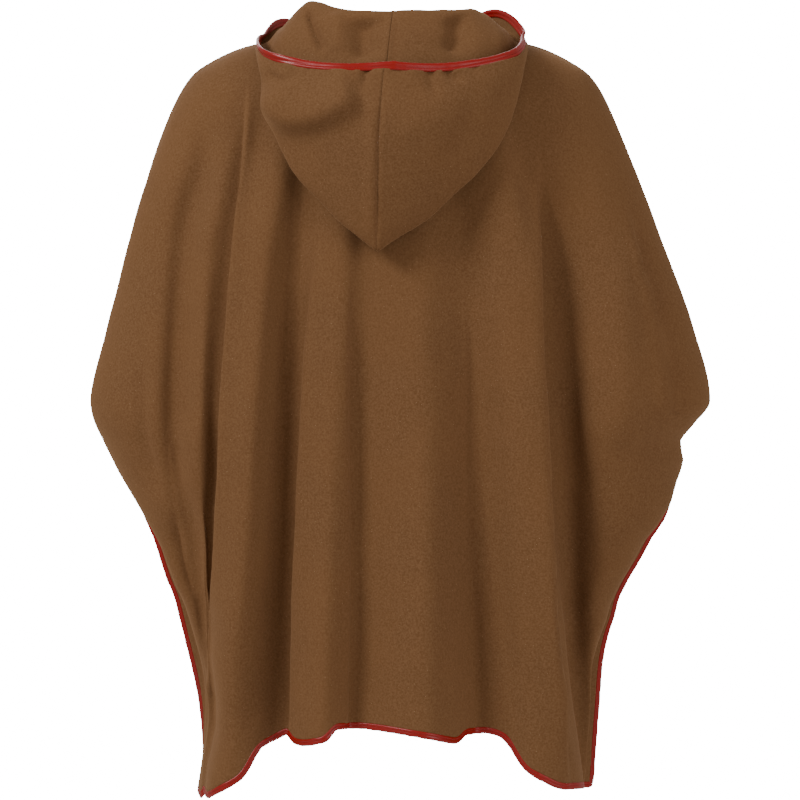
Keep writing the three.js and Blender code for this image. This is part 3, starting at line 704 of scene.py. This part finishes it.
# Satin: a close shiny weave that throws a soft light line along each folded edge. Its weave is drawn
# 1.1 mm wide, coarser than real, so that it shows.
satin, tree, shader = new_material("red satin binding", [
    ("Base Color", linear("#8F0C07")),
    ("Roughness", 0.36),
    ("Specular IOR Level", 0.42),
])
place = add_node(tree, "ShaderNodeTexCoord").outputs["Object"]
weave = add_node(tree, "ShaderNodeTexNoise", [("Scale", 900.0), ("Detail", 1.0)], [("Vector", place)])
bump = add_node(tree, "ShaderNodeBump", [("Strength", 0.25), ("Distance", 0.0003)], [
    ("Height", weave.outputs["Fac"]),
])
tree.links.new(bump.outputs["Normal"], shader.inputs["Normal"])


def tape_mesh(name, points, ways, size, turn, seed, draw=1.0, lap=0.0):
    """A folded tape along an edge, drawn in a little at uneven places.

    turn: 1 or -1, the side on which the cloth ends. draw: how strongly it puckers.
    lap: how much fuller it is in its middle, where its ends overlap.
    """
    after = np.diff(points, axis=0)
    step = after / np.linalg.norm(after, axis=1, keepdims=True)
    along = np.zeros_like(points)
    along[:-1] += step
    along[1:] += step
    along /= np.linalg.norm(along, axis=1, keepdims=True)
    across = np.cross(along, ways) * turn
    across /= np.linalg.norm(across, axis=1, keepdims=True)
    gone = np.concatenate([[0], np.cumsum(np.linalg.norm(after, axis=1))])
    drawn = draw * swells(gone, 0 * gone, TAPE_PUCKERS, seed)
    drawn = drawn + lap * np.exp(-(((gone - gone[-1] / 2) / LAP_LENGTH) ** 2))
    rings = []
    for w, h in TAPE_SECTION:
        width = size[0] * w * (1 + PUCKER_WIDER * drawn * (w > 0.3))
        lift = size[1] * h * (1 + PUCKER_THICKER * drawn * (abs(h) > 0.3))
        lift = lift + PUCKER_LIFT * drawn
        rings.append(points + across * (width + EDGE_ROOM)[:, None] + ways * lift[:, None])
    rings = np.array(rings).transpose(1, 0, 2)
    count, n = rings.shape[:2]
    faces = []
    for i in range(count - 1):
        for k in range(n):
            q = (k + 1) % n
            faces.append((i * n + k, i * n + q, (i + 1) * n + q, (i + 1) * n + k))
    faces += [tuple(range(n))[::-1], tuple((count - 1) * n + k for k in range(n))]
    if turn > 0:
        faces = [face[::-1] for face in faces]
    return mesh_piece(name, rings.reshape(-1, 3), faces, satin), across, gone


STITCH_PITCH, STITCH_LENGTH = 3.2, 2.3
THREAD_HALF = 0.28  # half the thread's thickness
STITCH_PROUD = 0.05  # above the groove
FIRST_STITCH = 2.0  # from the tape's end


def stitches(name, points, ways, across, gone, size):
    """One row of thread stitches in the tape's groove, on both faces."""
    verts, faces = [], []
    for start in np.arange(FIRST_STITCH, gone[-1] - STITCH_PITCH, STITCH_PITCH):
        ends = []
        for at in (start, start + STITCH_LENGTH):
            lines = (points, ways, across)
            ends.append([np.array([np.interp(at, gone, line[:, k]) for k in range(3)]) for line in lines])
        for face_side in (1, -1):
            base = len(verts)
            for point, way, out in ends:
                seat = point + out * (SEWN[0] * size[0] + EDGE_ROOM)
                seat = seat + way * face_side * (SEWN[1] * size[1] + STITCH_PROUD)
                for dy, dz in ((1, 0), (0, 1), (-1, 0), (0, -1)):
                    verts.append(seat + out * dy * THREAD_HALF + way * dz * THREAD_HALF)
            for k in range(4):
                q = (k + 1) % 4
                faces.append((base + k, base + q, base + 4 + q, base + 4 + k))
            faces += [(base, base + 3, base + 2, base + 1), (base + 4, base + 5, base + 6, base + 7)]
    return mesh_piece(name, np.array(verts), faces, thread)


# Spun thread: a shade deeper and less shiny than the satin, so that the row shows only close up.
thread, _, _ = new_material("red polyester thread", [("Base Color", linear("#7E120E")), ("Roughness", 0.6)])


def free_edge(points, ways):
    """The panel's edge from a little below the left cuff down, along the hem and up to the right cuff."""
    start = int(np.searchsorted(DOWNS, TAPE_START))
    runs = [(points[0, start:], ways[0, start:]), (points[1:, -1], ways[1:, -1])]
    runs.append((points[-1, start:-1][::-1], ways[-1, start:-1][::-1]))
    return np.concatenate([run[0] for run in runs]), np.concatenate([run[1] for run in runs])


tapes = {}
edge, way = free_edge(back_points, back_way)
tapes["back"] = tape_mesh("back_tape", edge, way, HEM_TAPE, 1, 61)
back_stitches = stitches("back_tape_stitches", edge, way, *tapes["back"][1:], HEM_TAPE)
edge, way = free_edge(front_points, front_way)
tapes["front"] = tape_mesh("front_tape", edge, way, HEM_TAPE, -1, 71)
front_stitches = stitches("front_tape_stitches", edge, way, *tapes["front"][1:], HEM_TAPE)
left_rim, right_rim = hood_grids[1][:, -1], hood_grids[-1][:, -1]
left_way, right_way = normals(hood_grids[1], 1)[:, -1], normals(hood_grids[-1], -1)[:, -1]
edge = np.concatenate([left_rim[1:-1][::-1], right_rim[1:-1]])
way = np.concatenate([left_way[1:-1][::-1], right_way[1:-1]])
edge, way = softened(edge, RIM_PASSES[0]), softened(way, RIM_PASSES[1])
way /= np.linalg.norm(way, axis=1, keepdims=True)
tapes["hood"] = tape_mesh("hood_tape", edge, way, HOOD_TAPE, -1, 81, 0.45, 3.0)
hood_stitches = stitches("hood_tape_stitches", edge, way, *tapes["hood"][1:], HOOD_TAPE)
for name, stitching in (("back", back_stitches), ("front", front_stitches), ("hood", hood_stitches)):
    tape = tapes[name][0]
    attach(tape, "root")
    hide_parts(name + "_binding")
    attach(stitching, "root")

# ---- Floor, lights and camera ----
# A pale round floor well below the hem, a soft lamp from the upper left of the back, and white all round.
FLOOR_RADIUS, FLOOR_HEIGHT = 1.5, -1.45  # metres
bpy.ops.mesh.primitive_circle_add(
    vertices=96, radius=FLOOR_RADIUS, fill_type="NGON", location=(0, 0, FLOOR_HEIGHT))
floor = bpy.context.object
floor.name = "floor"
pale, _, _ = new_material("pale studio floor", [("Base Color", linear("#E9E7E4")), ("Roughness", 0.8)])
floor.data.materials.append(pale)


def lamp(name, spot, size, power, aim=(0, 0, -0.42)):
    """A soft square lamp at spot that faces aim."""
    light = bpy.data.lights.new(name, "AREA")
    light.size = size
    light.energy = power
    thing = bpy.data.objects.new(name, light)
    thing.location = spot
    thing.rotation_euler = (Vector(aim) - Vector(spot)).to_track_quat("-Z", "Y").to_euler()
    bpy.context.scene.collection.objects.link(thing)


lamp("key", (2.9, 2.0, 2.0), 1.2, 132)
lamp("fill", (-2.6, 2.4, 0.5), 2.4, 52)
lamp("front fill", (0.4, -2.8, 1.2), 2.2, 40)

# The garment is lit by a dim warm white, and the camera sees the ground behind it as plain white.
world = bpy.data.worlds.new("white studio")
bpy.context.scene.world = world
world.use_nodes = True
tree = world.node_tree
ground = tree.nodes["Background"]
ground.inputs["Color"].default_value = linear("#FFF0E2")
ground.inputs["Strength"].default_value = 0.42
seen = add_node(tree, "ShaderNodeBackground", [("Color", (1, 1, 1, 1)), ("Strength", 18.0)])
ray = add_node(tree, "ShaderNodeLightPath")
mix = add_node(tree, "ShaderNodeMixShader", [], [
    (0, ray.outputs["Is Camera Ray"]), (1, ground.outputs[0]), (2, seen.outputs[0]),
])
tree.links.new(mix.outputs[0], tree.nodes["World Output"].inputs["Surface"])

# The photograph's view: square from behind, a little above the middle, from far off.
CAMERA_SPOT = (0, 3.5, -0.2)
CAMERA_AIM = (-0.0096, 0.12, -0.426)
camera_data = bpy.data.cameras.new("camera")
camera_data.sensor_width = 36
camera_data.lens = 127.0
camera = bpy.data.objects.new("camera", camera_data)
camera.location = CAMERA_SPOT
camera.rotation_euler = (Vector(CAMERA_AIM) - Vector(CAMERA_SPOT)).to_track_quat("-Z", "Y").to_euler()
bpy.context.scene.collection.objects.link(camera)
bpy.context.scene.camera = camera
